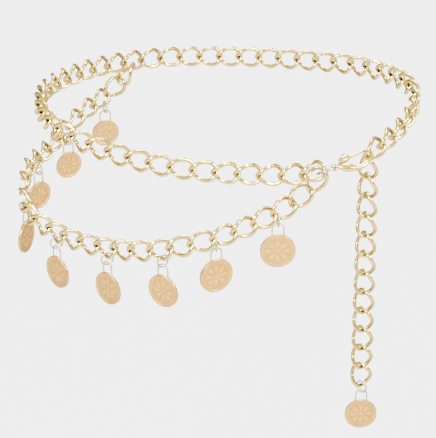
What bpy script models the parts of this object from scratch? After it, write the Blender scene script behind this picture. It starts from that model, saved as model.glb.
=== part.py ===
"""A coin waist chain: a closed waist loop of curb chain, a second chain swagged below
it with nine coins, a lobster clasp, and a hanging end with a tenth coin.

Metres, +Z up, the wearer's front towards -Y. The origin is at the middle of the waist loop.
"""

import math

import bmesh
import bpy
import numpy as np
from mathutils import Matrix, Vector

MM = 0.001

# Chain
WIRE = 2.4 * MM
LINK_LENGTH = 15.37 * MM  # to the middle of the wire
LINK_WIDTH = 11.4 * MM  # to the middle of the wire
LINK_ROUNDNESS = 2.3  # 2 is an ellipse, higher is squarer
LINK_TWIST = math.radians(45)  # turn of each end about the chain's run
LINK_SEGMENTS = 12
LINK_SIDES = 5
CLEAR = 0.3 * MM
RUN_LINKS = 3  # links that are one solid
STEP_IN_RUN = LINK_LENGTH - WIRE + CLEAR  # the wires bear on each other and join
STEP_BETWEEN_RUNS = LINK_LENGTH - WIRE - CLEAR

# Waist loop: where its middle line runs on the figure. Angle 0 is the wearer's left side, 90 the back.
UPPER_LINKS = 49
UPPER_START = 557.0 * MM
HELD_RUN = (0.72, 0.66, 0.20)  # run of its last link, which the clasp holds
HELD_ROLL = -6
UPPER_ROWS = [  # angle (deg), radius (mm), height (mm)
    (0, 115, 7),
    (30, 108, 1),
    (60, 99, -6),
    (90, 97, -8),
    (120, 105, -7),
    (150, 109, -1),
    (180, 115, 6),
    (210, 114, 9),
    (240, 102, 4),
    (270, 96, 0),
    (300, 99, -4),
    (330, 108, 1),
]

# Swagged chain: from the back of the waist loop, over one hip, to the junction ring in front.
LOWER_LINKS = 29
TOP_LINK = 25  # link of the waist loop that the swagged chain hangs from
TOP_PLACE = 274  # where it hangs on that link (deg)
TOP_SLACK = 1.2 * MM
TOP_TURN = 20  # beyond square to that link's wire (deg)
FIRST_RUN = (-0.56, -0.36, -0.745)
LAST_RUN = (0.40, 0.28, 0.87)
LOWER_LAST_ROLLS = (-6, -14, -24)  # of the three links before its last (deg)
SIDE_LINK = 12  # first link past the tight bend at the hip, which is eased a little
SIDE_EASE = 0.28 * MM
LOWER_ROWS = [  # angle (deg), radius (mm), height (mm), between its first and last link
    (133, 113.6, -27.5),
    (145, 114.2, -33.7),
    (164, 117.4, -42.4),
    (182, 125.6, -43.7),
    (196, 127.1, -55.6),
    (211, 116.6, -59.3),
    (227, 108.4, -57.6),
    (245, 107.3, -50.4),
    (263, 104.7, -40.1),
    (281, 96.7, -31.5),
    (293, 95.2, -23.9),
]

# Hanging end
TAIL_LINKS = 12
TAIL_PLACE = 243  # where its first link hangs on the held link (deg)
TAIL_OFFSET = (0.1, -1.2, 2.95)  # from the held wire to its first wire (mm)
TAIL_FIRST_TURN = -44  # degrees from facing forward
TAIL_TURN_EACH = 4.0

# Pendants
RING_ACROSS = 7.6 * MM  # to the middle of the wire
RING_WIRE = 1.0 * MM
RING_SLACK = 0.7 * MM
RING_SEGMENTS = 10
RING_SIDES = 5
BAIL_WIDTH = 7.0 * MM
BAIL_RISE = 7.4 * MM
BAIL_ROOT = 1.6 * MM
BAIL_WIRE = 0.95 * MM
BAIL_SIDES = 4
BAIL_SLACK = 0.5 * MM
COIN_THICK = 1.7 * MM
COIN_FIELD_THICK = 1.1 * MM
COIN_RIM = 1.4 * MM
COIN_SIDES = 18
PENDANTS = [  # link of the swagged chain, place round that link (deg), diameter (mm), turn of the face (deg)
    (2, 255, 18.0, 0),
    (5, 255, 18.0, 0),
    (8, 255, 18.0, 0),
    (11, 270, 20.8, 0),
    (14, 270, 20.8, 24),
    (17, 270, 20.8, 22),
    (20, 270, 20.8, 16),
    (23, 235, 21.4, 24),
    (26, 235, 21.4, 0),
]
TAIL_COIN = 20.2
TAIL_COIN_PLACE = 185
TAIL_COIN_TURN = -42

# Junction ring and clasp
JUNCTION_RADIUS = 5.65 * MM
JUNCTION_WIRE = 1.3 * MM
JUNCTION_SLACK = 1.05 * MM
JUNCTION_ALONG = (0.85, 0.50, 0.10)
JUNCTION_OUTER = (0.38, -0.78, 0.50)
UPPER_PLACE = math.radians(-20)  # where the waist loop and the swag hang on the ring
LOWER_PLACE = math.radians(65)
FIRST_LINK_PLACE = 344  # where the ring hangs on the first link (deg)
EYE_RADIUS = 2.0 * MM
EYE_WIRE = 1.3 * MM
EYE_SLACK = 0.45 * MM
CLASP_THICK = 3.2 * MM
CLASP_EDGE = 0.5 * MM
CLASP_LEAN = math.radians(60)  # its top leans in towards the figure
CLASP_HOLD = (21.2, 1.6)  # along and up from the eye to the held wire (mm)
HELD_PLACE = 170  # where it holds the last link (deg)
CLASP_PLATE = [  # along, up, from the middle of the eye (mm)
    (1.7, 0.9),
    (1.7, -0.9),
    (3.6, -2.8),
    (6.0, -5.2),
    (8.0, -6.0),
    (9.6, -6.2),
    (9.7, -3.6),
    (8.9, -1.6),
    (8.6, 0.2),
    (3.2, 0.7),
]
CLASP_CLAW = [  # along, up, radius (mm)
    (8.0, -4.3, 1.6),
    (12.0, -5.2, 1.5),
    (16.6, -5.1, 1.35),
    (20.7, -3.9, 1.2),
    (23.6, -1.8, 1.1),
    (24.7, 0.8, 1.05),
    (24.6, 3.0, 1.0),
    (24.0, 4.1, 0.8),
]
CLASP_LEVER = [  # along, up (mm)
    (3.0, 1.15),
    (9.1, 0.55),
    (9.9, 2.6),
    (22.5, 3.4),
    (22.4, 4.6),
    (10.2, 4.5),
    (9.8, 6.7),
    (8.3, 7.1),
    (5.4, 4.0),
]

GOLD = (0.72, 0.50, 0.17)
PALE_GOLD = (0.70, 0.64, 0.48)
ROSE_GOLD = (0.88, 0.58, 0.35)
UP = np.array((0.0, 0.0, 1.0))


def clear_scene():
    for obj in list(bpy.data.objects):
        bpy.data.objects.remove(obj, do_unlink=True)


def metal(name, colour, roughness):
    material = bpy.data.materials.new(name)
    material.use_nodes = True
    shader = material.node_tree.nodes["Principled BSDF"]
    shader.inputs["Base Color"].default_value = (*colour, 1)
    shader.inputs["Metallic"].default_value = 1
    shader.inputs["Roughness"].default_value = roughness
    return material


def unit(vector):
    return vector / np.linalg.norm(vector)


def smooth(rows, along, closed):
    """Catmull-Rom values of a table at places counted in rows."""
    count = len(rows)
    first = np.floor(along).astype(int)
    if not closed:
        first = np.clip(first, 0, count - 2)
        rows = np.vstack([2 * rows[0] - rows[1], rows, 2 * rows[-1] - rows[-2]])
        before, here, after, last = (rows[first + k] for k in range(4))
    else:
        before, here, after, last = (rows[(first + k) % count] for k in (-1, 0, 1, 2))
    part = (along - first)[:, None]
    return 0.5 * (
        2 * here
        + (after - before) * part
        + (2 * before - 5 * here + 4 * after - last) * part**2
        + (3 * here - before - 3 * after + last) * part**3
    )


def figure_path(rows, closed, samples=2400):
    """Points along a line that is given by angle, radius and height around the figure."""
    table = np.array(rows, float)
    if closed:
        along = np.linspace(0, len(table), samples)
        radius, height = smooth(table[:, 1:], along, True).T
        angle = np.radians(360 / len(table) * along)
    else:
        along = np.linspace(0, len(table) - 1, samples)
        angle, radius, height = smooth(table, along, False).T
        angle = np.radians(angle)
    return np.stack([radius * np.cos(angle), radius * np.sin(angle), height], axis=1) * MM


def polar(point):
    """A point as angle (deg), radius (mm) and height (mm)."""
    angle = math.degrees(math.atan2(point[1], point[0])) % 360
    return angle, math.hypot(point[0], point[1]) / MM, point[2] / MM


def lengths_along(path):
    return np.concatenate([[0], np.cumsum(np.linalg.norm(np.diff(path, axis=0), axis=1))])


def point_at(path, distance, closed=False):
    lengths = lengths_along(path)
    if closed:
        distance = distance % lengths[-1]
    return np.array([np.interp(distance, lengths, path[:, k]) for k in range(3)])


def steps(count):
    """Distance of each link from the first, with a wider bearing between runs."""
    each = [STEP_BETWEEN_RUNS if k % RUN_LINKS == 0 else STEP_IN_RUN for k in range(1, count)]
    return np.concatenate([[0], np.cumsum(each)])


def frame_of(middle, run, roll=0.0, upward=UP):
    """Middle, direction of the run, direction across it and direction out of its face."""
    run = unit(run)
    across = unit(upward - np.dot(upward, run) * run)
    out = np.cross(run, across)
    return (
        middle,
        run,
        math.cos(roll) * across + math.sin(roll) * out,
        math.cos(roll) * out - math.sin(roll) * across,
    )


def roll_for(run, end, wire):
    """Roll that lays a link's wire at one end of it (1 ahead, -1 behind) along a direction."""
    middle, run, across, out = frame_of(0, run)
    return math.atan2(np.dot(wire, out), np.dot(wire, across)) + end * LINK_TWIST


def link_line(frame, count):
    """Middle line of one curb link: a squared oval, turned about the run in proportion to x."""
    middle, run, across, out = frame
    turn = np.arange(count) * 2 * math.pi / count
    power = 2 / LINK_ROUNDNESS
    x = LINK_LENGTH / 2 * np.sign(np.cos(turn)) * np.abs(np.cos(turn)) ** power
    y = LINK_WIDTH / 2 * np.sign(np.sin(turn)) * np.abs(np.sin(turn)) ** power
    twist = -LINK_TWIST * x / (LINK_LENGTH / 2)
    y, z = y * np.cos(twist), y * np.sin(twist)
    return middle + x[:, None] * run + y[:, None] * across + z[:, None] * out


def round_line(centre, first, second, radius, count):
    turn = np.arange(count)[:, None] * 2 * math.pi / count
    return centre + radius * (np.cos(turn) * first + np.sin(turn) * second)


def closed_tube(line, radius, sides):
    """Closed wire along a ring of points, with an edge of its section towards the ring's middle."""
    line = np.asarray(line)
    tangent = np.roll(line, -1, axis=0) - np.roll(line, 1, axis=0)
    tangent /= np.linalg.norm(tangent, axis=1)[:, None]
    inward = line.mean(axis=0) - line
    inward -= (inward * tangent).sum(axis=1)[:, None] * tangent
    inward /= np.linalg.norm(inward, axis=1)[:, None]
    side = np.cross(tangent, inward)
    turn = np.arange(sides) * 2 * math.pi / sides
    rings = (
        line[:, None]
        + radius * np.cos(turn)[None, :, None] * inward[:, None]
        + radius * np.sin(turn)[None, :, None] * side[:, None]
    )
    return tube_mesh(rings, True)


def open_tube(line, radii, sides, flat=(1.0, 1.0), out=UP):
    """Wire with a radius at each point and closed ends. Flat scales its section across and out."""
    line = np.asarray(line)
    tangent = np.gradient(line, axis=0)
    tangent /= np.linalg.norm(tangent, axis=1)[:, None]
    across = np.cross(out, tangent)
    across /= np.linalg.norm(across, axis=1)[:, None]
    outward = np.cross(tangent, across)
    turn = (np.arange(sides) + 0.5) * 2 * math.pi / sides
    rings = (
        line[:, None]
        + flat[0] * np.cos(turn)[None, :, None] * np.asarray(radii)[:, None, None] * across[:, None]
        + flat[1] * np.sin(turn)[None, :, None] * np.asarray(radii)[:, None, None] * outward[:, None]
    )
    return tube_mesh(rings, False)


def tube_mesh(rings, closed):
    """Mesh of a tube from its rings of points, facing out."""
    mesh = bmesh.new()
    loops = [[mesh.verts.new(point) for point in ring] for ring in rings]
    pairs = list(zip(loops, loops[1:]))
    if closed:
        pairs.append((loops[-1], loops[0]))
    else:
        mesh.faces.new(loops[0])
        mesh.faces.new(loops[-1])
    for one, two in pairs:
        for k in range(len(one)):
            n = (k + 1) % len(one)
            mesh.faces.new((one[k], one[n], two[n], two[k]))
    bmesh.ops.recalc_face_normals(mesh, faces=mesh.faces)
    return mesh


def into_object(name, mesh, material, sharp=50):
    data = bpy.data.meshes.new(name)
    bmesh.ops.triangulate(mesh, faces=mesh.faces)
    mesh.to_mesh(data)
    mesh.free()
    data.shade_smooth()
    data.set_sharp_from_angle(angle=math.radians(sharp))
    data.materials.append(material)
    obj = bpy.data.objects.new(name, data)
    bpy.context.scene.collection.objects.link(obj)
    return obj


def fused(name, meshes, material, sharp=50):
    """One object from several closed meshes, joined by Boolean unions."""
    first, *others = [into_object(name, mesh, material) for mesh in meshes]
    for other in others:
        modifier = first.modifiers.new("Union", "BOOLEAN")
        modifier.operation = "UNION"
        modifier.object = other
    bpy.context.view_layer.update()
    graph = bpy.context.evaluated_depsgraph_get()
    data = bpy.data.meshes.new_from_object(first.evaluated_get(graph))
    first.modifiers.clear()
    first.data = data
    for other in others:
        bpy.data.objects.remove(other, do_unlink=True)
    data.shade_smooth()
    data.set_sharp_from_angle(angle=math.radians(sharp))
    first.name = name
    return first


def set_origin(obj, point):
    """Moves an object's origin to a point and leaves its shape in place."""
    obj.data.transform(Matrix.Translation(-Vector(point)))
    obj.location = point


def upper_frames():
    path = figure_path(UPPER_ROWS, True)
    nudge = 0.5 * MM
    frames = []
    for distance in UPPER_START - steps(UPPER_LINKS)[:-1]:
        ahead = point_at(path, distance + nudge, True)
        behind = point_at(path, distance - nudge, True)
        frames.append(frame_of(point_at(path, distance, True), ahead - behind))
    run = unit(np.array(HELD_RUN))
    bearing = LINK_LENGTH / 2 - WIRE - CLEAR
    held = frames[-1][0] - LINK_LENGTH / 2 * frames[-1][1] - bearing * run
    frames.append(frame_of(held, run, math.radians(HELD_ROLL)))
    return frames


def junction_frame(first_link):
    """Middle and the two in-plane directions of the ring that joins both chains to the clasp."""
    held = link_line(first_link, 360)[FIRST_LINK_PLACE]
    bearing = WIRE / 2 + JUNCTION_WIRE / 2 + JUNCTION_SLACK
    along = unit(np.array(JUNCTION_ALONG))
    outer = np.array(JUNCTION_OUTER)
    outer = unit(outer - np.dot(outer, along) * along)
    centre = held - bearing * first_link[1]
    centre = centre + JUNCTION_RADIUS * (math.cos(UPPER_PLACE) * along + math.sin(UPPER_PLACE) * outer)
    return centre, along, outer


def lower_frames(host, ring):
    """Frames of the swagged chain, from its host link in the waist loop to the junction ring."""
    centre, along, outer = ring
    first_run = unit(np.array(FIRST_RUN))
    last_run = unit(np.array(LAST_RUN))
    line = link_line(host, 360)
    hang = line[TOP_PLACE]
    first = hang + (LINK_LENGTH / 2 - WIRE - TOP_SLACK) * first_run
    first_roll = roll_for(first_run, -1, np.cross(first_run, line[TOP_PLACE + 1] - line[TOP_PLACE - 1]))
    first_roll += math.radians(TOP_TURN)
    held = centre - JUNCTION_RADIUS * (math.sin(LOWER_PLACE) * outer + math.cos(LOWER_PLACE) * along)
    last = held + (WIRE / 2 + JUNCTION_WIRE / 2 + JUNCTION_SLACK - LINK_LENGTH / 2) * last_run
    bore = math.sin(LOWER_PLACE) * along - math.cos(LOWER_PLACE) * outer
    last_roll = roll_for(last_run, 1, np.cross(last_run, bore))
    rows = [polar(first), *LOWER_ROWS, polar(last)]
    path = figure_path(rows, False)
    lengths = lengths_along(path)
    places = steps(LOWER_LINKS)
    places[SIDE_LINK:] -= SIDE_EASE
    places = places * lengths[-1] / places[-1]
    nudge = 3 * MM
    frames = [frame_of(first, first_run, first_roll)]
    rolls = np.zeros(LOWER_LINKS)
    rolls[-4:-1] = np.radians(LOWER_LAST_ROLLS)
    for distance, roll in zip(places[1:-1], rolls[1:-1]):
        ahead = point_at(path, distance + nudge)
        behind = point_at(path, distance - nudge)
        frames.append(frame_of(point_at(path, distance), ahead - behind, roll))
    frames.append(frame_of(last, last_run, last_roll))
    return frames


def tail_frames(held_link):
    """Frames of the links that hang down from the tip of the link that the clasp holds."""
    top = link_line(held_link, 360)[TAIL_PLACE] + np.array(TAIL_OFFSET) * MM
    frames = []
    for index, drop in enumerate(steps(TAIL_LINKS)):
        middle = top - (LINK_LENGTH / 2 + drop) * UP
        roll = math.radians(TAIL_FIRST_TURN + index * TAIL_TURN_EACH)
        frames.append(frame_of(middle, UP, roll, np.array((-1.0, 0.0, 0.0))))
    return frames


def make_runs(name, frames, material):
    """Solids of the chain, three links in each."""
    for run, first in enumerate(range(0, len(frames), RUN_LINKS), start=1):
        wires = [
            closed_tube(link_line(frame, LINK_SEGMENTS), WIRE / 2, LINK_SIDES)
            for frame in frames[first : first + RUN_LINKS]
        ]
        fused(f"{name}-{run:02d}", wires, material)


def coin_mesh(centre, face, level, diameter):
    """Turned disc with a raised rim on both faces."""
    radius = diameter / 2
    half, field = COIN_THICK / 2, COIN_FIELD_THICK / 2
    inner = radius - COIN_RIM
    turn = np.arange(COIN_SIDES)[:, None] * 2 * math.pi / COIN_SIDES
    spoke = np.cos(turn) * level + np.sin(turn) * UP
    rows = [(inner - 0.5 * MM, field), (inner, half), (radius, half), (radius, -half)]
    rows += [(inner, -half), (inner - 0.5 * MM, -field)]
    rings = [centre + r * spoke + h * face for r, h in rows]
    return tube_mesh(rings, False)


def bail_mesh(foot, face, level):
    """Arch of wire that stands on the coin's edge."""
    half = BAIL_WIDTH / 2
    straight = BAIL_RISE - half
    turn = np.linspace(0, math.pi, 6)
    line = [foot + half * level - BAIL_ROOT * UP]
    for angle in turn:
        line.append(foot + half * math.cos(angle) * level + (straight + half * math.sin(angle)) * UP)
    line.append(foot - half * level - BAIL_ROOT * UP)
    return open_tube(line, [BAIL_WIRE / 2] * len(line), BAIL_SIDES, out=face)


def hang_point(frame, place):
    """A point of a link's wire, by its angle round the link, and the level direction of the wire there."""
    line = link_line(frame, 720)
    index = 2 * place
    along = line[(index + 5) % 720] - line[index - 5]
    along[2] = 0
    along = unit(along)
    if np.dot(along, frame[1]) < 0:
        along = -along
    return line[index], along


def make_pendant(number, frame, place, diameter, turn, outward, materials):
    """A jump ring on the link's wire and a coin on the ring. Both origins are on their pivots."""
    held, axis = hang_point(frame, place)
    radius = RING_ACROSS / 2
    middle = held - (radius - RING_WIRE / 2 - WIRE / 2 - RING_SLACK) * UP
    swing = unit(np.cross(axis, UP))
    if np.dot(swing, outward) < 0:
        swing = -swing
    ring = into_object(
        f"jump-ring-{number:02d}",
        closed_tube(round_line(middle, UP, swing, radius, RING_SEGMENTS), RING_WIRE / 2, RING_SIDES),
        materials["pale"],
    )
    set_origin(ring, held)
    pivot = middle - radius * UP
    face = np.array(Matrix.Rotation(math.radians(turn), 3, "Z") @ Vector(swing))
    level = np.cross(face, UP)
    top = pivot + (RING_WIRE / 2 + BAIL_WIRE / 2 + BAIL_SLACK) * UP
    foot = top - BAIL_RISE * UP
    centre = foot - diameter / 2 * UP
    coin = fused(
        f"coin-{number:02d}",
        [coin_mesh(centre, face, level, diameter), bail_mesh(foot, face, level)],
        materials["rose"],
    )
    set_origin(coin, pivot)


def plate_mesh(outline, half, edge, origin, along, up):
    """Flat cast piece from its outline, with its edges eased on both faces."""
    points = np.array(outline) * MM
    ahead = np.roll(points, -1, axis=0) - points
    ahead /= np.linalg.norm(ahead, axis=1)[:, None]
    behind = np.roll(ahead, 1, axis=0)
    lean = ahead - behind
    mitre = np.stack([-(ahead + behind)[:, 1], (ahead + behind)[:, 0]], axis=1)
    mitre /= 1 + (ahead * behind).sum(axis=1)[:, None]
    normal = np.cross(along, up)
    rows = [(edge, half), (0, half - edge), (0, edge - half), (edge, -half)]
    rings = []
    for inset, height in rows:
        flat = points + inset * np.clip(mitre, -1.6, 1.6)
        rings.append(origin + flat[:, :1] * along + flat[:, 1:] * up + height * normal)
    return tube_mesh(rings, False)


def make_clasp(ring, held_link, materials):
    """Lobster clasp from the junction ring to the held link."""
    centre, along, outer = ring
    eye = centre + (JUNCTION_RADIUS - JUNCTION_WIRE / 2 - EYE_SLACK - EYE_WIRE / 2 + EYE_RADIUS) * along
    held = link_line(held_link, 360)[HELD_PLACE]
    towards = unit(held - eye)
    outward = unit(np.cross(towards, UP))
    lean = math.cos(CLASP_LEAN) * np.cross(outward, towards) - math.sin(CLASP_LEAN) * outward
    slope = math.atan2(CLASP_HOLD[1], CLASP_HOLD[0])
    run = math.cos(slope) * towards - math.sin(slope) * lean
    rise = math.sin(slope) * towards + math.cos(slope) * lean
    loop = closed_tube(round_line(eye, run, rise, EYE_RADIUS, 12), EYE_WIRE / 2, 6)
    plate = plate_mesh(CLASP_PLATE, CLASP_THICK / 2, CLASP_EDGE, eye, run, rise)
    table = np.array(CLASP_CLAW)
    fine = smooth(table, np.linspace(0, len(table) - 1, 2 * len(table) - 1), False) * MM
    line = eye + fine[:, :1] * run + fine[:, 1:2] * rise
    claw = open_tube(line, fine[:, 2], 8, out=np.cross(run, rise))
    lever = plate_mesh(CLASP_LEVER, 0.4 * CLASP_THICK, CLASP_EDGE, eye, run, rise)
    fused("clasp-body", [plate, claw, loop], materials["gold"])
    into_object("clasp-lever", lever, materials["gold"])


def build():
    clear_scene()
    materials = {
        "gold": metal("Yellow gold plate", GOLD, 0.22),
        "pale": metal("Pale gold wire", PALE_GOLD, 0.25),
        "rose": metal("Rose gold plate", ROSE_GOLD, 0.35),
    }
    upper = upper_frames()
    ring = junction_frame(upper[0])
    lower = lower_frames(upper[TOP_LINK], ring)
    tail = tail_frames(upper[-1])
    make_runs("waist-links", upper, materials["gold"])
    make_runs("swag-links", lower, materials["gold"])
    make_runs("end-links", tail, materials["gold"])
    for number, (link, place, diameter, turn) in enumerate(PENDANTS, start=1):
        frame = lower[link]
        make_pendant(number, frame, place, diameter * MM, turn, frame[3], materials)
    last = tail[-1]
    number = len(PENDANTS) + 1
    make_pendant(number, last, TAIL_COIN_PLACE, TAIL_COIN * MM, TAIL_COIN_TURN, -last[2], materials)
    centre, along, outer = ring
    loop = round_line(centre, along, outer, JUNCTION_RADIUS, 14)
    into_object("junction-ring", closed_tube(loop, JUNCTION_WIRE / 2, 6), materials["pale"])
    make_clasp(ring, upper[-1], materials)


build()
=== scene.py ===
# Coin waist chain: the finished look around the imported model.
# Twisted curb links in yellow gold plate, satin rose coins on thin pale rings, a lobster clasp.

import math

import bpy
import numpy as np
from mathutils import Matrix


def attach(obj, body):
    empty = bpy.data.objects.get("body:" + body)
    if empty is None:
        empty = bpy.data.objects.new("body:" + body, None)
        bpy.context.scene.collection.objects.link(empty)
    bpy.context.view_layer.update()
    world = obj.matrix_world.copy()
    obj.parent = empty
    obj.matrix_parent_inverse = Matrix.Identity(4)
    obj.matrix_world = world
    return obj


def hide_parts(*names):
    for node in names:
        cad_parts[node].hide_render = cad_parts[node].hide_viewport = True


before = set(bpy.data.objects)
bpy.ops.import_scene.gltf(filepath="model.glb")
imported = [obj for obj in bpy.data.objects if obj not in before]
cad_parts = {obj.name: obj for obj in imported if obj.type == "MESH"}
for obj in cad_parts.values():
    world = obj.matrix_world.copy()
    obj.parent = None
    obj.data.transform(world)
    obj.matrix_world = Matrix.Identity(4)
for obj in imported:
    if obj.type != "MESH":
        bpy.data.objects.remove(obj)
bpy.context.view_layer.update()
mm = 0.001
up = np.array((0.0, 0.0, 1.0))
left = np.array((-1.0, 0.0, 0.0))
print("frame loaded:", len(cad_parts), "nodes")


# Vectors, curves and tables

def unit(vector):
    return vector / np.linalg.norm(vector)


def norms(vectors):
    return np.linalg.norm(vectors, axis=-1, keepdims=True)


def evenTurns(count):
    return np.arange(count) * 2 * math.pi / count


def bell(away, width):
    return np.exp(-((away / width) ** 2))


def superellipse(turn, roundness):
    # Cosine and sine, each raised to the same power with its sign kept: an oval with fuller corners.
    power = 2 / roundness
    return [np.sign(wave) * np.abs(wave) ** power for wave in (np.cos(turn), np.sin(turn))]


def circleLine(middle, radius, first, second, count):
    # The middle plus the radius times cosine along one direction and sine along the other.
    turn = evenTurns(count)[:, None]
    return middle + radius * (np.cos(turn) * first + np.sin(turn) * second)


def smoothTable(rows, along, closed):
    # Catmull-Rom: between each two rows a cubic whose slope at a row is that from the row before it
    # to the row after it.
    count = len(rows)
    first = np.floor(along).astype(int)
    if closed:
        before, here, after, last = (rows[(first + k) % count] for k in (-1, 0, 1, 2))
    else:
        first = np.clip(first, 0, count - 2)
        rows = np.vstack([2 * rows[0] - rows[1], rows, 2 * rows[-1] - rows[-2]])
        before, here, after, last = (rows[first + k] for k in range(4))
    part = (along - first)[:, None]
    return 0.5 * (
        2 * here
        + (after - before) * part
        + (2 * before - 5 * here + 4 * after - last) * part**2
        + (3 * here - before - 3 * after + last) * part**3
    )


def refined(rows, samples):
    rows = np.array(rows, float)
    return smoothTable(rows, np.linspace(0, len(rows) - 1, samples), False)


def figurePath(rows, closed, samples=2400):
    # A line round the figure: radius and height are smooth functions of the angle.
    if closed:
        table = np.array(rows, float)
        along = np.linspace(0, len(table), samples)
        radius, height = smoothTable(table[:, 1:], along, True).T
        angle = 360 / len(table) * along
    else:
        angle, radius, height = refined(rows, samples).T
    angle = np.radians(angle)
    return np.stack([radius * np.cos(angle), radius * np.sin(angle), height], axis=1) * mm


def polar(point):
    angle = math.degrees(math.atan2(point[1], point[0])) % 360
    return angle, math.hypot(point[0], point[1]) / mm, point[2] / mm


def lengthsAlong(path):
    return np.concatenate([[0], np.cumsum(np.linalg.norm(np.diff(path, axis=0), axis=1))])


def pointAt(path, distance, closed):
    lengths = lengthsAlong(path)
    if closed:
        distance = distance % lengths[-1]
    return np.array([np.interp(distance, lengths, path[:, k]) for k in range(3)])


def runAt(path, distance, nudge, closed):
    # The path's direction, from a little before a place to a little after it.
    return pointAt(path, distance + nudge, closed) - pointAt(path, distance - nudge, closed)


# Meshes from grids

def added(name, data):
    obj = bpy.data.objects.new(name, data)
    bpy.context.scene.collection.objects.link(obj)
    return obj


def signedVolume(mesh):
    mesh.calc_loop_triangles()
    corners = np.empty(len(mesh.vertices) * 3)
    mesh.vertices.foreach_get("co", corners)
    index = np.empty(len(mesh.loop_triangles) * 3, int)
    mesh.loop_triangles.foreach_get("vertices", index)
    return np.linalg.det(corners.reshape(-1, 3)[index.reshape(-1, 3)]).sum()


def gridObject(name, *parts):
    # Joins closed surfaces into one mesh. A part is a grid of points, (rows, columns, 3), whether its
    # rows close on themselves as its columns always do, and its tint, one value or one for each point.
    # Open ends close in a fan to their middle, and the two middles are the part's last points.
    points, faces, tints, start = [], [], [], 0
    for grid, rowsClose, tint in parts:
        rows, columns = grid.shape[:2]
        index = start + np.arange(rows * columns).reshape(rows, columns)
        last = rows if rowsClose else rows - 1
        one = index[:last]
        two = np.roll(index, -1, axis=0)[:last]
        quads = [one, np.roll(one, -1, axis=1), np.roll(two, -1, axis=1), two]
        faces += np.stack(quads, axis=-1).reshape(-1, 4).tolist()
        points.append(grid.reshape(-1, 3))
        count = rows * columns
        if not rowsClose:
            head = np.roll(index[0], -1), index[0]
            tail = index[-1], np.roll(index[-1], -1)
            for here, ahead in (head, tail):
                middle = np.full_like(here, start + count)
                faces += np.stack([here, ahead, middle], axis=1).tolist()
                count += 1
            points += [grid[0].mean(axis=0)[None], grid[-1].mean(axis=0)[None]]
        tints.append(np.broadcast_to(tint, count))
        start += count
    mesh = bpy.data.meshes.new(name)
    mesh.from_pydata(np.concatenate(points), [], faces)
    mesh.update()
    if signedVolume(mesh) < 0:
        mesh.flip_normals()
    values = np.concatenate(tints).astype(np.float32)
    mesh.attributes.new("tint", "FLOAT", "POINT").data.foreach_set("value", values)
    mesh.shade_smooth()
    return added(name, mesh)


def wireGrid(line, radius, sides, out=None):
    # A round section carried along a line: the centre plus radius times cosine in one direction and
    # sine across it. On a closed line that direction is towards the line's middle. An open line has
    # out, the direction that its plane faces, and takes the one across out and the line.
    if out is None:
        tangent = np.roll(line, -1, axis=0) - np.roll(line, 1, axis=0)
    else:
        tangent = np.gradient(line, axis=0)
    tangent /= norms(tangent)
    inward = line.mean(axis=0) - line if out is None else np.cross(out, tangent)
    inward -= (inward * tangent).sum(axis=1)[:, None] * tangent
    inward /= norms(inward)
    side = np.cross(tangent, inward)
    turn = evenTurns(sides)[None, :, None]
    radius = np.broadcast_to(np.asarray(radius, float), (len(line),))[:, None, None]
    section = np.cos(turn) * inward[:, None] + np.sin(turn) * side[:, None]
    return line[:, None] + radius * section


# Where each link of the three chains lies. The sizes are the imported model's own.

links = {
    "wire": 2.4 * mm,
    "length": 15.37 * mm,  # of the wire's middle line, as is the width
    "width": 11.4 * mm,
    "roundness": 2.3,
    "twist": math.radians(45),
    "clear": 0.3 * mm,
    "inRun": 3,
    "segments": 60,
    "sides": 12,
    "seamDepth": 0.10,
    "seamWidth": 0.16 * mm,
    "seamGap": 0.05,
    "bearingWear": 0.045,
    "innerPaintedShade": 0.14,
    "endPaintedShade": 0.86,
    "seamTint": 0.5,
}

waistLoop = {
    "count": 49,
    "start": 557.0 * mm,
    "nudge": 0.5 * mm,
    "heldRun": (0.72, 0.66, 0.20),
    "heldRoll": math.radians(-6),
    "rows": [  # angle (deg), radius (mm), height (mm)
        (0, 115, 7),
        (30, 108, 1),
        (60, 99, -6),
        (90, 97, -8),
        (120, 105, -7),
        (150, 109, -1),
        (180, 115, 6),
        (210, 114, 9),
        (240, 102, 4),
        (270, 96, 0),
        (300, 99, -4),
        (330, 108, 1),
    ],
}

swag = {
    "count": 29,
    "topLink": 25,
    "topPlace": 274,
    "topNudge": 1,
    "topSlack": 1.2 * mm,
    "topTurn": math.radians(20),
    "firstRun": (-0.56, -0.36, -0.745),
    "lastRun": (0.40, 0.28, 0.87),
    "lastRolls": (-6, -14, -24),
    "sideLink": 12,
    "sideEase": 0.28 * mm,
    "nudge": 3 * mm,
    "rows": [  # angle (deg), radius (mm), height (mm)
        (133, 113.6, -27.5),
        (145, 114.2, -33.7),
        (164, 117.4, -42.4),
        (182, 125.6, -43.7),
        (196, 127.1, -55.6),
        (211, 116.6, -59.3),
        (227, 108.4, -57.6),
        (245, 107.3, -50.4),
        (263, 104.7, -40.1),
        (281, 96.7, -31.5),
        (293, 95.2, -23.9),
    ],
}

hangingEnd = {
    "count": 12,
    "place": 243,
    "offset": (0.1 * mm, -1.2 * mm, 2.95 * mm),
    "firstTurn": -44,
    "turnEach": 4.0,
}

junction = {
    "radius": 5.65 * mm,
    "wire": 1.3 * mm,
    "slack": 1.05 * mm,
    "along": (0.85, 0.50, 0.10),
    "outer": (0.38, -0.78, 0.50),
    "upperPlace": math.radians(-20),
    "lowerPlace": math.radians(65),
    "firstLinkPlace": 344,
    "segments": 72,
    "sides": 14,
    "tint": 0.08,
}


def linkSteps(count):
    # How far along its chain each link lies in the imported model. A taut link is its length less its
    # wire from the next; it is a little further inside a run of three, and a little nearer between two.
    taut = links["length"] - links["wire"]
    betweenRuns = np.arange(1, count) % links["inRun"] == 0
    each = np.where(betweenRuns, taut - links["clear"], taut + links["clear"])
    return np.concatenate([[0], np.cumsum(each)])


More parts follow.
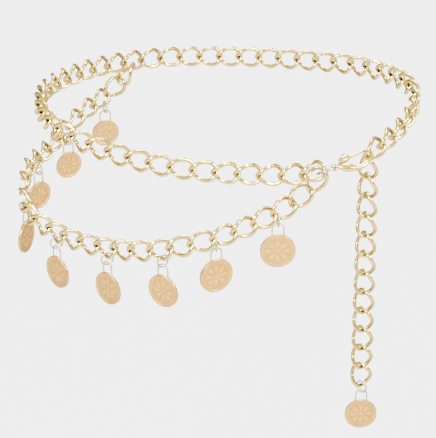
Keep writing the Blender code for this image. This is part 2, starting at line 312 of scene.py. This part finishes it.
def evenSteps(count):
    # The same total length in equal steps.
    return np.linspace(0, linkSteps(count)[-1], count)


def frameOf(middle, run, roll=0.0, upward=up):
    # A link's place: its middle and its directions along the run, across it and out of the link.
    run = unit(run)
    across = unit(upward - np.dot(upward, run) * run)
    out = np.cross(run, across)
    return (
        middle,
        run,
        math.cos(roll) * across + math.sin(roll) * out,
        math.cos(roll) * out - math.sin(roll) * across,
    )


def rollFor(run, end, crossing):
    # The roll that lays one end of a twisted link in a given direction: 1 its leading end, -1 the other.
    across, out = frameOf(None, run)[2:]
    return math.atan2(np.dot(crossing, out), np.dot(crossing, across)) + end * links["twist"]


def linkLine(place, turn):
    # Middle line of a curb link: a superellipse that is twisted about the run in proportion to x.
    middle, run, across, out = place
    x, y = superellipse(turn, links["roundness"])
    twist = -links["twist"] * x
    x = links["length"] / 2 * x[:, None]
    y = links["width"] / 2 * y
    sideways = (y * np.cos(twist))[:, None] * across
    return middle + x * run + sideways + (y * np.sin(twist))[:, None] * out


def linkPoint(place, degrees):
    return linkLine(place, np.array([math.radians(degrees)]))[0]


def wireRun(place, degrees, nudge):
    return linkPoint(place, degrees + nudge) - linkPoint(place, degrees - nudge)


def waistFrames():
    path = figurePath(waistLoop["rows"], True)
    frames = []
    for distance in waistLoop["start"] - evenSteps(waistLoop["count"] - 1):
        run = runAt(path, distance, waistLoop["nudge"], True)
        frames.append(frameOf(pointAt(path, distance, True), run))
    # The last link leaves the loop, because the clasp holds it.
    run = unit(np.array(waistLoop["heldRun"]))
    bearing = links["length"] / 2 - links["wire"] - links["clear"]
    held = frames[-1][0] - links["length"] / 2 * frames[-1][1] - bearing * run
    frames.append(frameOf(held, run, waistLoop["heldRoll"]))
    return frames


def junctionBearing():
    return (links["wire"] + junction["wire"]) / 2 + junction["slack"]


def ringSpoke(place, along, outer):
    # From the junction ring's middle to its wire. The place is an angle from the side far from the clasp.
    return -junction["radius"] * (math.cos(place) * along + math.sin(place) * outer)


def junctionFrame(firstLink):
    along = unit(np.array(junction["along"]))
    outer = np.array(junction["outer"])
    outer = unit(outer - np.dot(outer, along) * along)
    held = linkPoint(firstLink, junction["firstLinkPlace"]) - junctionBearing() * firstLink[1]
    return held - ringSpoke(junction["upperPlace"], along, outer), along, outer


def swagFrames(host, ring):
    firstRun = unit(np.array(swag["firstRun"]))
    hang = linkPoint(host, swag["topPlace"])
    wire = wireRun(host, swag["topPlace"], swag["topNudge"])
    first = hang + (links["length"] / 2 - links["wire"] - swag["topSlack"]) * firstRun
    firstRoll = rollFor(firstRun, -1, np.cross(firstRun, wire)) + swag["topTurn"]

    centre, along, outer = ring
    place = junction["lowerPlace"]
    lastRun = unit(np.array(swag["lastRun"]))
    held = centre + ringSpoke(place, along, outer)
    last = held + (junctionBearing() - links["length"] / 2) * lastRun
    wire = math.sin(place) * along - math.cos(place) * outer
    lastRoll = rollFor(lastRun, 1, np.cross(lastRun, wire))

    # Between both ends the links keep their spacing, with one pair at the side a little slacker.
    path = figurePath([polar(first), *swag["rows"], polar(last)], False)
    steps = linkSteps(swag["count"])
    steps[swag["sideLink"] :] -= swag["sideEase"]
    steps = steps * lengthsAlong(path)[-1] / steps[-1]
    rolls = np.zeros(swag["count"])
    rolls[-1 - len(swag["lastRolls"]) : -1] = np.radians(swag["lastRolls"])
    frames = [frameOf(first, firstRun, firstRoll)]
    for distance, roll in zip(steps[1:-1], rolls[1:-1]):
        run = runAt(path, distance, swag["nudge"], False)
        frames.append(frameOf(pointAt(path, distance, False), run, roll))
    frames.append(frameOf(last, lastRun, lastRoll))
    return frames


def endFrames(heldLink):
    top = linkPoint(heldLink, hangingEnd["place"]) + np.array(hangingEnd["offset"])
    frames = []
    for index, drop in enumerate(evenSteps(hangingEnd["count"])):
        middle = top - (links["length"] / 2 + drop) * up
        roll = math.radians(hangingEnd["firstTurn"] + index * hangingEnd["turnEach"])
        frames.append(frameOf(middle, up, roll, left))
    return frames


waistPlaces = waistFrames()
ringPlace = junctionFrame(waistPlaces[0])
swagPlaces = swagFrames(waistPlaces[swag["topLink"]], ringPlace)
endPlaces = endFrames(waistPlaces[-1])
print("links laid:", len(waistPlaces), len(swagPlaces), len(endPlaces))


# Finishes

# Each finish has its colour and a darker colour that the tint attribute mixes in: on the curb links that
# darker colour is painted shade, elsewhere it is a darker tone of the part.
finishes = {
    "yellow": {
        "colour": (0.92, 0.66, 0.13, 1),
        "shadeAndTone": (0.13, 0.115, 0.025, 1),
        "roughness": 0.12,
    },
    "copper": {
        "colour": (0.93, 0.63, 0.17, 1),
        "shadeAndTone": (0.30, 0.16, 0.04, 1),
        "roughness": 0.20,
    },
    "rose": {
        "colour": (1.0, 0.53, 0.09, 1),
        "shadeAndTone": (0.32, 0.18, 0.05, 1),
        "roughness": 0.28,
    },
    "pale": {
        "colour": (0.56, 0.48, 0.27, 1),
        "shadeAndTone": (0.22, 0.18, 0.10, 1),
        "roughness": 0.20,
    },
}

platingLook = {
    "cloudScale": 260,
    "cloudDetail": 4,
    "cloudFrom": 0.35,
    "cloudTo": 0.65,
    "darkest": 0.90,
    "lightest": 1.06,
    "cloudRoughness": 0.16,
    "hairScale": 2600,
    "hairDetail": 3,
    "hairStrength": 0.06,
    "hairDepth": 0.1 * mm,
}


def addNode(nodes, kind, values):
    node = nodes.new(kind)
    for name, value in values.items():
        node.inputs[name].default_value = value
    return node


def platingGroup():
    # Shared effect: a faint cloud in the plating, fine hairlines, and a darker colour where tint is high;
    # on the links that darker colour is painted shade.
    look = platingLook
    group = bpy.data.node_groups.new("plating", "ShaderNodeTree")
    colour, number, vector = "NodeSocketColor", "NodeSocketFloat", "NodeSocketVector"
    for name, kind, value in (
        ("Colour", colour, finishes["yellow"]["colour"]),
        ("Shade and tone colour", colour, finishes["yellow"]["shadeAndTone"]),
        ("Roughness", number, finishes["yellow"]["roughness"]),
        ("Tint", number, 0.0),
    ):
        group.interface.new_socket(name, in_out="INPUT", socket_type=kind).default_value = value
    for name, kind in (("Colour", colour), ("Roughness", number), ("Normal", vector)):
        group.interface.new_socket(name, in_out="OUTPUT", socket_type=kind)
    nodes, link = group.nodes, group.links.new
    given = nodes.new("NodeGroupInput")
    out = nodes.new("NodeGroupOutput")
    place = nodes.new("ShaderNodeTexCoord").outputs["Object"]
    noise = "ShaderNodeTexNoise"
    cloud = addNode(nodes, noise, {"Scale": look["cloudScale"], "Detail": look["cloudDetail"]})
    hairs = addNode(nodes, noise, {"Scale": look["hairScale"], "Detail": look["hairDetail"]})
    link(place, cloud.inputs["Vector"])
    link(place, hairs.inputs["Vector"])
    light = addNode(nodes, "ShaderNodeMapRange", {
        "From Min": look["cloudFrom"],
        "From Max": look["cloudTo"],
        "To Min": look["darkest"],
        "To Max": look["lightest"],
    })
    link(cloud.outputs["Fac"], light.inputs["Value"])
    varied = nodes.new("ShaderNodeVectorMath")
    varied.operation = "SCALE"
    link(given.outputs["Colour"], varied.inputs[0])
    link(light.outputs["Result"], varied.inputs["Scale"])
    shadeAndTone = nodes.new("ShaderNodeMix")
    shadeAndTone.data_type = "RGBA"
    link(given.outputs["Tint"], shadeAndTone.inputs["Factor"])
    link(varied.outputs["Vector"], shadeAndTone.inputs["A"])
    link(given.outputs["Shade and tone colour"], shadeAndTone.inputs["B"])
    link(shadeAndTone.outputs["Result"], out.inputs["Colour"])
    rough = addNode(nodes, "ShaderNodeMath", {1: look["cloudRoughness"]})
    rough.operation = "MULTIPLY_ADD"
    link(cloud.outputs["Fac"], rough.inputs[0])
    link(given.outputs["Roughness"], rough.inputs[2])
    link(rough.outputs["Value"], out.inputs["Roughness"])
    depth = {"Strength": look["hairStrength"], "Distance": look["hairDepth"]}
    bump = addNode(nodes, "ShaderNodeBump", depth)
    link(hairs.outputs["Fac"], bump.inputs["Height"])
    link(bump.outputs["Normal"], out.inputs["Normal"])
    return group


def plated(name, finish, group):
    material = bpy.data.materials.new(name)
    material.use_nodes = True
    nodes, link = material.node_tree.nodes, material.node_tree.links.new
    shader = nodes["Principled BSDF"]
    shader.inputs["Metallic"].default_value = 1.0
    effect = nodes.new("ShaderNodeGroup")
    effect.node_tree = group
    effect.inputs["Colour"].default_value = finish["colour"]
    effect.inputs["Shade and tone colour"].default_value = finish["shadeAndTone"]
    effect.inputs["Roughness"].default_value = finish["roughness"]
    tint = nodes.new("ShaderNodeAttribute")
    tint.attribute_name = "tint"
    link(tint.outputs["Fac"], effect.inputs["Tint"])
    link(effect.outputs["Colour"], shader.inputs["Base Color"])
    link(effect.outputs["Roughness"], shader.inputs["Roughness"])
    link(effect.outputs["Normal"], shader.inputs["Normal"])
    return material


plating = platingGroup()
yellowGold = plated("yellow gold plate", finishes["yellow"], plating)
copperGold = plated("copper gold plate", finishes["copper"], plating)
roseGold = plated("satin rose gold plate", finishes["rose"], plating)
paleGold = plated("pale gold wire", finishes["pale"], plating)
print("finishes made")


def dress(obj, material, slot, body, *nodes):
    obj.data.materials.append(material)
    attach(obj, body)
    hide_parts(*nodes)
    return obj


# Curb links

def linkGrid(place):
    # The wire's section is carried round the link's middle line. At the solder seam, in the middle of one
    # long side, the radius dips by a narrow bell curve, and towards both ends, where links bear on each
    # other, it is worn down by a power of the cosine. The tint is painted shade: it grows on the inner
    # side and towards both ends, where the links overlap and shade each other, and it also darkens the
    # seam.
    seam = math.pi / 2
    half = links["seamWidth"] / 2
    near = seam + np.arange(-2, 3) * half / (links["width"] / 2)
    turn = evenTurns(links["segments"])
    turn = np.sort(np.concatenate([turn[np.abs(turn - seam) > links["seamGap"]], near]))
    dip = bell((turn - seam) * links["width"] / 2, half)
    towardsEnds = np.abs(np.cos(turn))
    radius = 1 - links["seamDepth"] * dip - links["bearingWear"] * towardsEnds**4
    grid = wireGrid(linkLine(place, turn), links["wire"] / 2 * radius, links["sides"])
    # Painted shade: darker on the inner side of the wire and, more strongly, towards both ends where the
    # links overlap.
    inner = 0.5 + 0.5 * np.cos(evenTurns(links["sides"]))
    tint = links["innerPaintedShade"] * inner + links["endPaintedShade"] * (towardsEnds**3)[:, None] * inner**2
    tint = tint + links["seamTint"] * dip[:, None]
    return grid, True, np.clip(tint, 0, 1).reshape(-1)


def makeLinks(pieceName, nodeName, places):
    inRun = links["inRun"]
    for run, first in enumerate(range(0, len(places), inRun), start=1):
        grids = [linkGrid(place) for place in places[first : first + inRun]]
        obj = gridObject(f"{pieceName}{run:02d}", *grids)
        dress(obj, yellowGold, "yellow-gold", "chain", f"{nodeName}-{run:02d}")


makeLinks("waistLinks", "waist-links", waistPlaces)
makeLinks("swagLinks", "swag-links", swagPlaces)
makeLinks("endLinks", "end-links", endPlaces)
print("links made")


# Pendants: a jump ring on the link's wire, a bail on the ring, and a coin

pendants = {
    "ringAcross": 7.6 * mm,
    "ringWire": 1.0 * mm,
    "ringSlack": 0.7 * mm,
    "ringSegments": 56,
    "cutPlace": 20,
    "cutWidth": 0.5,
    "cutDepth": 0.22,
    "cutTint": 0.6,
    "bailWidth": 7.0 * mm,
    "bailRise": 7.4 * mm,
    "bailWire": 0.95 * mm,
    "bailRoot": 1.2 * mm,
    "bailSlack": 0.5 * mm,
    "bailTint": 0.06,
    "legRows": 6,
    "bendRows": 22,
    "sides": 12,
    "wireNudge": 2.5,
    "rows": [  # link of the swag, place round that link (deg), diameter (mm), turn of the face (deg)
        (2, 255, 18.0, 0),
        (5, 255, 18.0, 0),
        (8, 255, 18.0, 0),
        (11, 270, 20.8, 0),
        (14, 270, 20.8, 24),
        (17, 270, 20.8, 22),
        (20, 270, 20.8, 16),
        (23, 235, 21.4, 24),
        (26, 235, 21.4, 0),
    ],
    "endCoin": (-1, 185, 20.2, -42),
}

coins = {
    "thick": 1.7 * mm,
    "field": 1.1 * mm,
    "rim": 1.25 * mm,
    "stepBefore": 0.035,  # this and the other places and widths on the face are shares of the radius
    "stepWidth": 0.045,
    "edgeWidth": 0.025,
    "edgeDrop": 0.16 * mm,
    "beads": 44,
    "beadPlace": 0.83,
    "beadSize": 0.042,
    "beadRise": 0.16 * mm,
    "threadPlace": 0.73,
    "threadWidth": 0.014,
    "threadRise": 0.12 * mm,
    "petals": 8,
    "petalRise": 0.24 * mm,
    "petalFrom": 0.16,
    "petalLength": 0.48,
    "petalHump": 0.7,
    "petalSwing": 0.62,
    "petalFloor": 0.38,
    "petalRound": 0.6,
    "veinDepth": 0.30,
    "veinWidth": 0.10,
    "bossSize": 0.13,
    "bossRise": 0.20 * mm,
    "around": 176,
    "innerRows": (0.02, 0.78, 27),
    "outerRows": (0.795, 1.0, 17),
    "reliefTintRise": 0.16 * mm,
    "fieldTint": 0.48,
    "raisedTint": 0.02,
    "rimFrom": 0.91,
    "rimTint": 0.38,
    "middleTint": 0.1,
}


def coinHeight(share, turn, radius):
    # Height of the face above the coin's middle plane, by share of the radius and angle: a flat field,
    # a rim that rises in a smooth step, a circle of half-round beads, a thin ring, and a rosette whose
    # petals are a raised cosine of the angle under a hump along the radius, with a boss in its middle.
    inner = 1 - coins["rim"] / radius
    step = np.clip((share - inner + coins["stepBefore"]) / coins["stepWidth"], 0, 1)
    edge = np.clip((share - 1 + coins["edgeWidth"]) / coins["edgeWidth"], 0, 1)
    rim = (coins["thick"] - coins["field"]) / 2 * (step * step * (3 - 2 * step))
    rim = rim - coins["edgeDrop"] * edge**2

    each = 2 * math.pi / coins["beads"]
    aside = (turn / each - np.round(turn / each)) * each * coins["beadPlace"]
    ball = 1 - ((share - coins["beadPlace"]) ** 2 + aside**2) / coins["beadSize"] ** 2
    bead = coins["beadRise"] * np.sqrt(np.clip(ball, 0, 1))
    thread = coins["threadRise"] * bell(share - coins["threadPlace"], coins["threadWidth"])

    outward = np.clip((share - coins["petalFrom"]) / coins["petalLength"], 0, 1)
    hump = np.clip(np.sin(math.pi * outward), 0, 1) ** coins["petalHump"]
    wave = coins["petalSwing"] * np.cos(coins["petals"] * turn) + coins["petalFloor"]
    petal = np.clip(wave, 0, 1) ** coins["petalRound"]
    vein = 1 - coins["veinDepth"] * bell(np.sin(coins["petals"] * turn / 2), coins["veinWidth"])
    rosette = coins["petalRise"] * hump * petal * vein
    dome = np.clip(1 - (share / coins["bossSize"]) ** 2, 0, 1)
    boss = coins["bossRise"] * np.sqrt(dome)
    return coins["field"] / 2 + rim + bead + thread + rosette + boss


def coinGrid(centre, face, level, diameter):
    # Rows run from near the middle of one face, over the edge, to near the middle of the other. A point is
    # the centre plus its radius along a spoke plus its height along the face's normal.
    radius = diameter / 2
    share = np.concatenate([np.linspace(*coins["innerRows"]), np.linspace(*coins["outerRows"])])
    turn = evenTurns(coins["around"])
    height = coinHeight(share[:, None], turn[None, :], radius)
    spoke = np.cos(turn)[:, None] * level + np.sin(turn)[:, None] * up
    flat = centre + radius * share[:, None, None] * spoke[None]
    above = height[:, :, None] * face
    grid = np.concatenate([flat + above, (flat - above)[::-1]])
    # Darker on the flat field and on the rim, lighter on the raised pattern.
    raised = np.clip((height - coins["field"] / 2) / coins["reliefTintRise"], 0, 1)
    tint = coins["fieldTint"] * (1 - raised) ** 2 + coins["raisedTint"]
    tint[share > coins["rimFrom"]] = coins["rimTint"]
    middles = [coins["middleTint"]] * 2
    return grid, False, np.concatenate([tint.reshape(-1), tint[::-1].reshape(-1), middles])


def bailLine(foot, level):
    # Two straight legs joined by a half circle: half the width times cosine sideways and sine upwards.
    half = pendants["bailWidth"] / 2
    straight = pendants["bailRise"] - half
    root = np.linspace(-pendants["bailRoot"], straight, pendants["legRows"])[:-1]
    bend = np.linspace(0, math.pi, pendants["bendRows"])
    rising = half * level + root[:, None] * up
    over = half * np.cos(bend)[:, None] * level + (straight + half * np.sin(bend))[:, None] * up
    falling = -half * level + root[::-1, None] * up
    return foot + np.concatenate([rising, over, falling])


def hangPoint(place, degrees):
    # Where a jump ring hangs on a link's wire, and the level direction of that wire.
    along = wireRun(place, degrees, pendants["wireNudge"])
    along[2] = 0
    along = unit(along)
    if np.dot(along, place[1]) < 0:
        along = -along
    return linkPoint(place, degrees), along


def jumpRing(middle, swing):
    # A circle of wire, narrowed by a bell curve at the cut where the ring was closed.
    count = pendants["ringSegments"]
    line = circleLine(middle, pendants["ringAcross"] / 2, up, swing, count)
    cut = bell(np.arange(count) - pendants["cutPlace"], pendants["cutWidth"])
    radius = pendants["ringWire"] / 2 * (1 - pendants["cutDepth"] * cut)
    grid = wireGrid(line, radius, pendants["sides"])
    return grid, True, np.repeat(pendants["cutTint"] * cut, pendants["sides"])


def makePendant(number, place, degrees, diameter, turned, outward):
    held, axis = hangPoint(place, degrees)
    swing = unit(np.cross(axis, up))
    if np.dot(swing, outward) < 0:
        swing = -swing
    radius = pendants["ringAcross"] / 2
    bearing = (pendants["ringWire"] + links["wire"]) / 2 + pendants["ringSlack"]
    middle = held - (radius - bearing) * up
    ring = gridObject(f"jumpRing{number:02d}", jumpRing(middle, swing))
    body = f"jump-ring-{number:02d}"
    dress(ring, paleGold, "pale-gold", body, body)

    angle = math.radians(turned)
    face = math.cos(angle) * swing + math.sin(angle) * np.cross(up, swing)
    level = np.cross(face, up)
    bearing = (pendants["ringWire"] + pendants["bailWire"]) / 2 + pendants["bailSlack"]
    foot = middle - (radius - bearing + pendants["bailRise"]) * up
    bail = wireGrid(bailLine(foot, level), pendants["bailWire"] / 2, pendants["sides"], face)
    bail = gridObject(f"bail{number:02d}", (bail, False, pendants["bailTint"]))
    coin = coinGrid(foot - diameter / 2 * up, face, level, diameter)
    coin = gridObject(f"coinDisc{number:02d}", coin)
    body = f"coin-{number:02d}"
    dress(bail, paleGold, "pale-gold", body, body)
    dress(coin, roseGold, "rose-gold", body, body)


for number, (link, degrees, diameter, turned) in enumerate(pendants["rows"], start=1):
    place = swagPlaces[link]
    makePendant(number, place, degrees, diameter * mm, turned, place[3])
link, degrees, diameter, turned = pendants["endCoin"]
place = endPlaces[link]
makePendant(len(pendants["rows"]) + 1, place, degrees, diameter * mm, turned, -place[2])
print("pendants made")


# Junction ring and lobster clasp

clasp = {
    "eyeRadius": 2.0 * mm,
    "eyeWire": 1.3 * mm,
    "eyeSlack": 0.45 * mm,
    "eyeSegments": 48,
    "eyeSides": 14,
    "lean": math.radians(60),
    "hold": (21.2, 1.6),  # where the held link lies from the eye: along, up (mm)
    "heldPlace": 170,
    "roundness": 2.4,
    "sides": 20,
    "bodySamples": 90,
    "body": [  # along, up, half width, half thickness (mm)
        (1.3, 0.0, 0.55, 0.75),
        (2.3, -0.3, 1.0, 1.1),
        (3.9, -1.2, 1.8, 1.7),
        (6.0, -2.4, 2.45, 2.1),
        (8.2, -3.4, 2.4, 2.1),
        (10.0, -4.3, 1.85, 1.8),
        (12.0, -5.0, 1.5, 1.5),
        (16.6, -5.1, 1.35, 1.35),
        (20.7, -3.9, 1.2, 1.2),
        (23.6, -1.8, 1.1, 1.1),
        (24.7, 0.8, 1.05, 1.05),
        (24.6, 3.0, 1.0, 1.0),
        (24.0, 4.1, 0.75, 0.75),
    ],
    "leverSamples": 60,
    "leverTint": 0.2,
    "lever": [  # along, up, half width, half thickness (mm)
        (3.3, 1.45, 0.6, 1.2),
        (4.7, 2.0, 1.4, 1.8),
        (6.4, 2.8, 2.2, 2.1),
        (8.4, 3.3, 2.4, 2.0),
        (10.2, 3.55, 1.7, 1.7),
        (12.2, 3.6, 1.0, 1.3),
        (17.5, 3.8, 0.66, 1.0),
        (22.2, 3.98, 0.62, 0.95),
    ],
    "nubSamples": 24,
    "nub": [  # along, up, half width, half thickness (mm)
        (7.8, 3.8, 1.3, 1.1),
        (8.3, 5.3, 1.05, 1.05),
        (8.9, 6.4, 0.75, 0.9),
        (9.2, 6.8, 0.4, 0.6),
    ],
}


def castGrid(rows, samples, origin, run, rise):
    # A superellipse section carried along a smooth spine in the clasp's plane. Each point is the spine
    # plus its half width across the spine in that plane plus its half thickness out of it.
    table = refined(rows, samples) * mm
    spine = table[:, :2]
    tangent = np.gradient(spine, axis=0)
    tangent /= norms(tangent)
    across = np.stack([-tangent[:, 1], tangent[:, 0]], axis=1)
    wide, thick = superellipse(evenTurns(clasp["sides"]), clasp["roundness"])
    flat = spine[:, None] + (table[:, 2:3] * wide)[:, :, None] * across[:, None]
    through = (table[:, 3:] * thick)[:, :, None] * np.cross(run, rise)
    return origin + flat[..., :1] * run + flat[..., 1:] * rise + through


def makeJunction():
    centre, along, outer = ringPlace
    line = circleLine(centre, junction["radius"], along, outer, junction["segments"])
    ring = wireGrid(line, junction["wire"] / 2, junction["sides"])
    obj = gridObject("junctionRing", (ring, True, junction["tint"]))
    dress(obj, paleGold, "pale-gold", "chain", "junction-ring")


def makeClasp():
    # The clasp runs from its eye on the junction ring to the held link, and its plane leans outwards.
    centre, along = ringPlace[:2]
    bearing = (junction["wire"] + clasp["eyeWire"]) / 2 + clasp["eyeSlack"]
    eye = centre + (junction["radius"] - bearing + clasp["eyeRadius"]) * along
    towards = unit(linkPoint(waistPlaces[-1], clasp["heldPlace"]) - eye)
    outward = unit(np.cross(towards, up))
    lean = math.cos(clasp["lean"]) * np.cross(outward, towards) - math.sin(clasp["lean"]) * outward
    slope = math.atan2(clasp["hold"][1], clasp["hold"][0])
    run = math.cos(slope) * towards - math.sin(slope) * lean
    rise = math.sin(slope) * towards + math.cos(slope) * lean

    line = circleLine(eye, clasp["eyeRadius"], run, rise, clasp["eyeSegments"])
    loop = wireGrid(line, clasp["eyeWire"] / 2, clasp["eyeSides"])
    body = castGrid(clasp["body"], clasp["bodySamples"], eye, run, rise)
    obj = gridObject("claspBody", (loop, True, 0.0), (body, False, 0.0))
    dress(obj, yellowGold, "yellow-gold", "chain", "clasp-body")

    tint = clasp["leverTint"]
    lever = castGrid(clasp["lever"], clasp["leverSamples"], eye, run, rise)
    nub = castGrid(clasp["nub"], clasp["nubSamples"], eye, run, rise)
    obj = gridObject("claspLever", (lever, False, tint), (nub, False, tint))
    dress(obj, copperGold, "yellow-gold", "chain", "clasp-lever")


makeJunction()
makeClasp()
print("clasp made")


# Light, floor and camera

studio = {
    "floorHeight": -0.32,
    "floorHalf": 20.0,
    "floorSeen": 5.2,
    "floorInFront": 4.2,
    "floorBehind": 0.5,
    "frontPlace": -0.9,
    "backPlace": 0.5,
    "paper": 0.8,
    "paperRoughness": 0.9,
    "shadowShare": 0.10,
    "sky": 2.0,
    "horizon": 0.10,
    "below": 0.20,
    "lamps": [  # place (m), size (m), power (W)
        ((-0.55, -0.75, 0.75), 0.30, 55.0),
        ((0.75, -0.45, 0.55), 0.22, 26.0),
        ((0.1, 0.6, 0.8), 0.35, 24.0),
    ],
}

photo = {
    "width": 436,
    "focalPixels": 2182.9,
    "sensor": 36.0,
    "place": (-0.00591, -1.2335, 0.5497),
    "tilt": math.radians(63),
}


def grey(value):
    return value, value, value, 1


def makeFloor():
    # Pale to the camera. The light that it throws on the chain falls off from the front to the back.
    half, height = studio["floorHalf"], studio["floorHeight"]
    mesh = bpy.data.meshes.new("floor")
    corners = [(x * half, y * half, height) for x, y in ((-1, -1), (1, -1), (1, 1), (-1, 1))]
    mesh.from_pydata(corners, [], [(0, 1, 2, 3)])
    material = bpy.data.materials.new("white paper")
    material.use_nodes = True
    nodes, link = material.node_tree.nodes, material.node_tree.links.new
    paper = nodes["Principled BSDF"]
    paper.inputs["Base Color"].default_value = grey(studio["paper"])
    paper.inputs["Roughness"].default_value = studio["paperRoughness"]
    place = nodes.new("ShaderNodeSeparateXYZ")
    link(nodes.new("ShaderNodeTexCoord").outputs["Object"], place.inputs["Vector"])
    lit = addNode(nodes, "ShaderNodeMapRange", {
        "From Min": studio["frontPlace"],
        "From Max": studio["backPlace"],
        "To Min": studio["floorInFront"],
        "To Max": studio["floorBehind"],
    })
    link(place.outputs["Y"], lit.inputs["Value"])
    strength = addNode(nodes, "ShaderNodeMapRange", {"To Max": studio["floorSeen"]})
    link(lit.outputs["Result"], strength.inputs["To Min"])
    seen = nodes.new("ShaderNodeLightPath")
    link(seen.outputs["Is Camera Ray"], strength.inputs["Value"])
    glow = nodes.new("ShaderNodeEmission")
    link(strength.outputs["Result"], glow.inputs["Strength"])
    mix = addNode(nodes, "ShaderNodeMixShader", {"Fac": 1 - studio["shadowShare"]})
    link(paper.outputs["BSDF"], mix.inputs[1])
    link(glow.outputs["Emission"], mix.inputs[2])
    link(mix.outputs["Shader"], nodes["Material Output"].inputs["Surface"])
    mesh.materials.append(material)
    floor = added("floor", mesh)


def makeSky():
    # Bright above and dark at the horizon, so that the polished wires show bright and dark sides. The
    # camera sees the floor's own pale tone behind the chain.
    world = bpy.data.worlds.new("studio")
    bpy.context.scene.world = world
    world.use_nodes = True
    nodes, link = world.node_tree.nodes, world.node_tree.links.new
    heading = nodes.new("ShaderNodeTexCoord")
    split = nodes.new("ShaderNodeSeparateXYZ")
    link(heading.outputs["Generated"], split.inputs["Vector"])
    level = addNode(nodes, "ShaderNodeMapRange", {"From Min": -1})
    link(split.outputs["Z"], level.inputs["Value"])
    ramp = nodes.new("ShaderNodeValToRGB")
    link(level.outputs["Result"], ramp.inputs["Fac"])
    stops = ramp.color_ramp.elements
    stops[0].color = grey(studio["below"])
    stops[1].color = grey(studio["sky"])
    stops.new(0.5).color = grey(studio["horizon"])
    pale = nodes.new("ShaderNodeMix")
    pale.data_type = "RGBA"
    pale.inputs["B"].default_value = grey(studio["floorSeen"])
    link(nodes.new("ShaderNodeLightPath").outputs["Is Camera Ray"], pale.inputs["Factor"])
    link(ramp.outputs["Color"], pale.inputs["A"])
    link(pale.outputs["Result"], nodes["Background"].inputs["Color"])


def makeLamps():
    # Each lamp faces the middle of the scene.
    for number, (place, size, power) in enumerate(studio["lamps"], start=1):
        lamp = bpy.data.lights.new(f"softbox{number}", "AREA")
        lamp.size = size
        lamp.energy = power
        obj = added(f"softbox{number}", lamp)
        obj.location = place
        towards = -unit(np.array(place))
        heading = math.atan2(towards[1], towards[0]) - math.pi / 2
        obj.rotation_euler = (math.acos(-towards[2]), 0, heading)


def makeCamera():
    data = bpy.data.cameras.new("camera")
    data.sensor_fit = "HORIZONTAL"
    data.sensor_width = photo["sensor"]
    data.lens = photo["focalPixels"] / photo["width"] * photo["sensor"]
    camera = added("camera", data)
    camera.location = photo["place"]
    camera.rotation_euler = (photo["tilt"], 0, 0)
    bpy.context.scene.camera = camera


makeFloor()
makeSky()
makeLamps()
makeCamera()
print("studio made")

bpy.context.view_layer.update()
